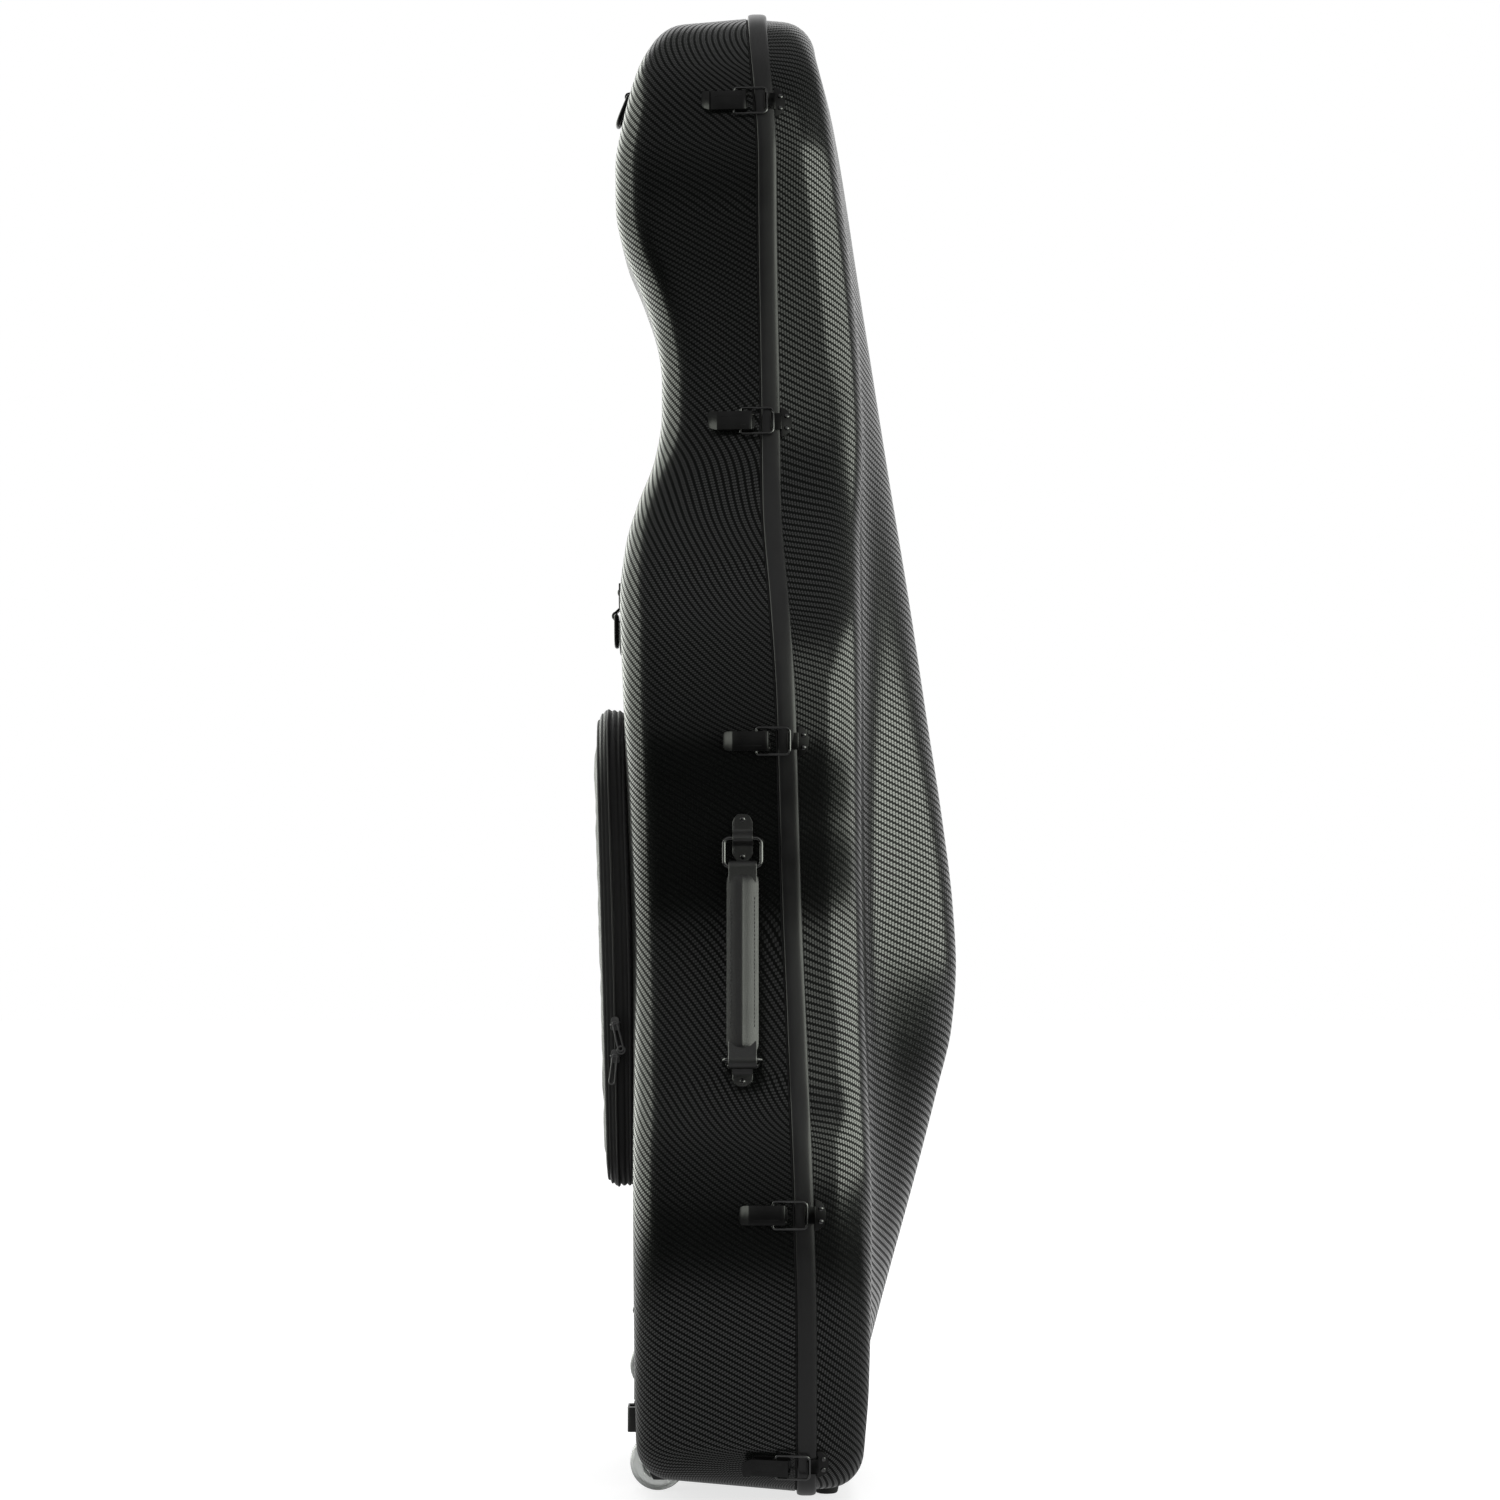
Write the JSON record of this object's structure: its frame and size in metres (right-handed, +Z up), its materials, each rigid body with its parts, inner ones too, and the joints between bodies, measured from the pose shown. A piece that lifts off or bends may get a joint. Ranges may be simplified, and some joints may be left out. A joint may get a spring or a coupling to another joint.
{
  "type": "cello hard case",
  "caption": "Tall black twill-shell cello hard case with a hinged lid, five draw latches, side carry handle, back pocket, wheels and feet.",
  "frame": {"origin": "middle of the footprint, on the floor", "axes": "+Z up the case, -Y out of the lid, +Y out of the back, latches and handle on -X, hinges on +X"},
  "size_m": [0.5269, 0.3298, 1.343],
  "materials": {
    "twill_shell": "clear-coated woven carbon twill, satin gloss",
    "rim_bead": "smooth satin black",
    "black_rubber": "matte",
    "lining_plush": "short charcoal plush over foam",
    "black_steel": "black plated, satin",
    "handle_leather": "grained black",
    "wheel_clear": "translucent grey",
    "black_plastic": "moulded, matte",
    "pocket_fabric": "ballistic weave, black"
  },
  "bodies": {
    "back": {"back_shell": "twill_shell", "back_liner": "lining_plush", "rim_seal": "black_rubber", "latch_base_1": "black_steel", "latch_base_2": "black_steel", "latch_base_3": "black_steel", "latch_base_4": "black_steel", "latch_base_5": "black_steel", "hinge_back_leaf_1": "black_steel", "hinge_back_leaf_2": "black_steel", "hinge_back_leaf_3": "black_steel", "handle_chape_lower": "handle_leather", "handle_chape_upper": "handle_leather", "strap_anchor_head": "black_steel", "strap_anchor_left": "black_steel", "strap_anchor_right": "black_steel", "wheel_carrier_left": "black_plastic", "wheel_carrier_right": "black_plastic", "back_pocket": "pocket_fabric", "neck_cradle": "lining_plush", "neck_strap": "pocket_fabric", "endpin_block": "lining_plush"},
    "lid": {"lid_shell": "twill_shell", "lid_liner": "lining_plush", "lid_trim": "rim_bead", "latch_catch_1": "black_steel", "latch_catch_2": "black_steel", "latch_catch_3": "black_steel", "latch_catch_4": "black_steel", "latch_catch_5": "black_steel", "hinge_lid_leaf_1": "black_steel", "hinge_lid_leaf_2": "black_steel", "hinge_lid_leaf_3": "black_steel", "foot_left": "black_rubber", "foot_right": "black_rubber"},
    "latch_lever_1": {"latch_lever_1": "black_steel"},
    "latch_bail_1": {"latch_bail_1": "black_steel"},
    "latch_lever_2": {"latch_lever_2": "black_steel"},
    "latch_bail_2": {"latch_bail_2": "black_steel"},
    "latch_lever_3": {"latch_lever_3": "black_steel"},
    "latch_bail_3": {"latch_bail_3": "black_steel"},
    "latch_lever_4": {"latch_lever_4": "black_steel"},
    "latch_bail_4": {"latch_bail_4": "black_steel"},
    "latch_lever_5": {"latch_lever_5": "black_steel"},
    "latch_bail_5": {"latch_bail_5": "black_steel"},
    "handle_ring_upper": {"handle_ring_upper": "black_steel"},
    "handle_grip": {"handle_grip": "handle_leather"},
    "handle_ring_lower": {"handle_ring_lower": "black_steel"},
    "strap_ring_head": {"strap_ring_head": "black_steel"},
    "strap_ring_left": {"strap_ring_left": "black_steel"},
    "strap_ring_right": {"strap_ring_right": "black_steel"},
    "wheel_lower_left": {"wheel_lower_left": "wheel_clear"},
    "wheel_upper_left": {"wheel_upper_left": "wheel_clear"},
    "wheel_lower_right": {"wheel_lower_right": "wheel_clear"},
    "wheel_upper_right": {"wheel_upper_right": "wheel_clear"},
    "zip_slider_1": {"zip_slider_1": "black_steel"},
    "zip_pull_1": {"zip_pull_1": "black_steel"},
    "zip_slider_2": {"zip_slider_2": "black_steel"},
    "zip_pull_2": {"zip_pull_2": "black_steel"}
  },
  "joints": [
    {"name": "lid_hinge", "type": "hinge", "parent": "back", "child": "lid", "pos_m": [0.25826, -0.01365, 0.222], "axis": [-0.109, 0.0348, 0.9934], "range_deg": [0, 170]},
    {"name": "latch_lever_1_pin", "type": "hinge", "parent": "back", "child": "latch_lever_1", "pos_m": [-0.11855, 0.02983, 1.24751], "axis": [0.1575, 0, 0.9875], "range_deg": [0, 120]},
    {"name": "latch_bail_1_pin", "type": "hinge", "parent": "latch_lever_1", "child": "latch_bail_1", "pos_m": [-0.12035, 0.04003, 1.2478], "axis": [0.1575, 0, 0.9875], "range_deg": [-150, 0]},
    {"name": "latch_lever_2_pin", "type": "hinge", "parent": "back", "child": "latch_lever_2", "pos_m": [-0.1228, 0.02404, 0.95954], "axis": [0.1879, 0, 0.9822], "range_deg": [0, 120]},
    {"name": "latch_bail_2_pin", "type": "hinge", "parent": "latch_lever_2", "child": "latch_bail_2", "pos_m": [-0.12459, 0.03423, 0.95989], "axis": [0.1879, 0, 0.9822], "range_deg": [-150, 0]},
    {"name": "latch_lever_3_pin", "type": "hinge", "parent": "back", "child": "latch_lever_3", "pos_m": [-0.20926, 0.00991, 0.67097], "axis": [0.0021, 0, 1], "range_deg": [0, 120]},
    {"name": "latch_bail_3_pin", "type": "hinge", "parent": "latch_lever_3", "child": "latch_bail_3", "pos_m": [-0.21108, 0.02011, 0.67097], "axis": [0.0021, 0, 1], "range_deg": [-150, 0]},
    {"name": "latch_lever_4_pin", "type": "hinge", "parent": "back", "child": "latch_lever_4", "pos_m": [-0.25806, -0.00448, 0.25926], "axis": [0.0444, 0, 0.999], "range_deg": [0, 120]},
    {"name": "latch_bail_4_pin", "type": "hinge", "parent": "latch_lever_4", "child": "latch_bail_4", "pos_m": [-0.25987, 0.00572, 0.25934], "axis": [0.0444, 0, 0.999], "range_deg": [-150, 0]},
    {"name": "latch_lever_5_pin", "type": "hinge", "parent": "back", "child": "latch_lever_5", "pos_m": [-0.23241, -0.00708, 0.03828], "axis": [-0.4294, 0, 0.9031], "range_deg": [0, 120]},
    {"name": "latch_bail_5_pin", "type": "hinge", "parent": "latch_lever_5", "child": "latch_bail_5", "pos_m": [-0.23405, 0.00312, 0.0375], "axis": [-0.4294, 0, 0.9031], "range_deg": [-150, 0]},
    {"name": "handle_upper_pin", "type": "hinge", "parent": "back", "child": "handle_ring_upper", "pos_m": [-0.20079, 0.03211, 0.58574], "axis": [0, 1, 0], "range_deg": [0, 45]},
    {"name": "handle_grip_pin", "type": "hinge", "parent": "handle_ring_upper", "child": "handle_grip", "pos_m": [-0.20386, 0.03211, 0.56093], "axis": [0, 1, 0], "range_deg": [-51.4, 0]},
    {"name": "handle_lower_pin", "type": "hinge", "parent": "back", "child": "handle_ring_lower", "pos_m": [-0.22546, 0.03211, 0.38665], "axis": [0, 1, 0], "range_deg": [0, 10]},
    {"name": "strap_ring_head_pin", "type": "hinge", "parent": "back", "child": "strap_ring_head", "pos_m": [-0.00457, 0.13705, 1.26866], "axis": [1, 0, 0], "range_deg": [0, 160]},
    {"name": "strap_ring_left_pin", "type": "hinge", "parent": "back", "child": "strap_ring_left", "pos_m": [-0.08657, 0.14633, 0.78602], "axis": [1, 0, 0], "range_deg": [0, 160]},
    {"name": "strap_ring_right_pin", "type": "hinge", "parent": "back", "child": "strap_ring_right", "pos_m": [0.07743, 0.14633, 0.78602], "axis": [1, 0, 0], "range_deg": [0, 160]},
    {"name": "wheel_lower_left_axle", "type": "hinge", "parent": "back", "child": "wheel_lower_left", "pos_m": [-0.11257, 0.10811, 0.025], "axis": [1, 0, 0], "continuous": true},
    {"name": "wheel_upper_left_axle", "type": "hinge", "parent": "back", "child": "wheel_upper_left", "pos_m": [-0.11257, 0.10811, 0.112], "axis": [1, 0, 0], "continuous": true},
    {"name": "wheel_lower_right_axle", "type": "hinge", "parent": "back", "child": "wheel_lower_right", "pos_m": [0.10343, 0.10811, 0.025], "axis": [1, 0, 0], "continuous": true},
    {"name": "wheel_upper_right_axle", "type": "hinge", "parent": "back", "child": "wheel_upper_right", "pos_m": [0.10343, 0.10811, 0.112], "axis": [1, 0, 0], "continuous": true},
    {"name": "zip_slider_1_run", "type": "slide", "parent": "back", "child": "zip_slider_1", "axis": [0, 0.0262, 0.9997], "range_m": [0, 0.18]},
    {"name": "zip_pull_1_eye", "type": "hinge", "parent": "zip_slider_1", "child": "zip_pull_1", "pos_m": [-0.14607, 0.14611, 0.41996], "axis": [0, 0.9724, -0.2334], "range_deg": [0, 150]},
    {"name": "zip_slider_2_run", "type": "slide", "parent": "back", "child": "zip_slider_2", "axis": [0, 0.0262, 0.9997], "range_m": [-0.07, 0]},
    {"name": "zip_pull_2_eye", "type": "hinge", "parent": "zip_slider_2", "child": "zip_pull_2", "pos_m": [-0.14607, 0.14611, 0.39096], "axis": [0, 0.9936, 0.1132], "range_deg": [0, 150]}
  ],
  "couplings": [
    {"joint": "latch_bail_1_pin", "follows": "latch_lever_1_pin", "ratio": -1.25},
    {"joint": "latch_bail_2_pin", "follows": "latch_lever_2_pin", "ratio": -1.25},
    {"joint": "latch_bail_3_pin", "follows": "latch_lever_3_pin", "ratio": -1.25},
    {"joint": "latch_bail_4_pin", "follows": "latch_lever_4_pin", "ratio": -1.25},
    {"joint": "latch_bail_5_pin", "follows": "latch_lever_5_pin", "ratio": -1.25},
    {"joint": "handle_grip_pin", "follows": "handle_upper_pin", "ratio": -1.14},
    {"joint": "handle_lower_pin", "follows": "handle_upper_pin", "ratio": 0.22}
  ]
}
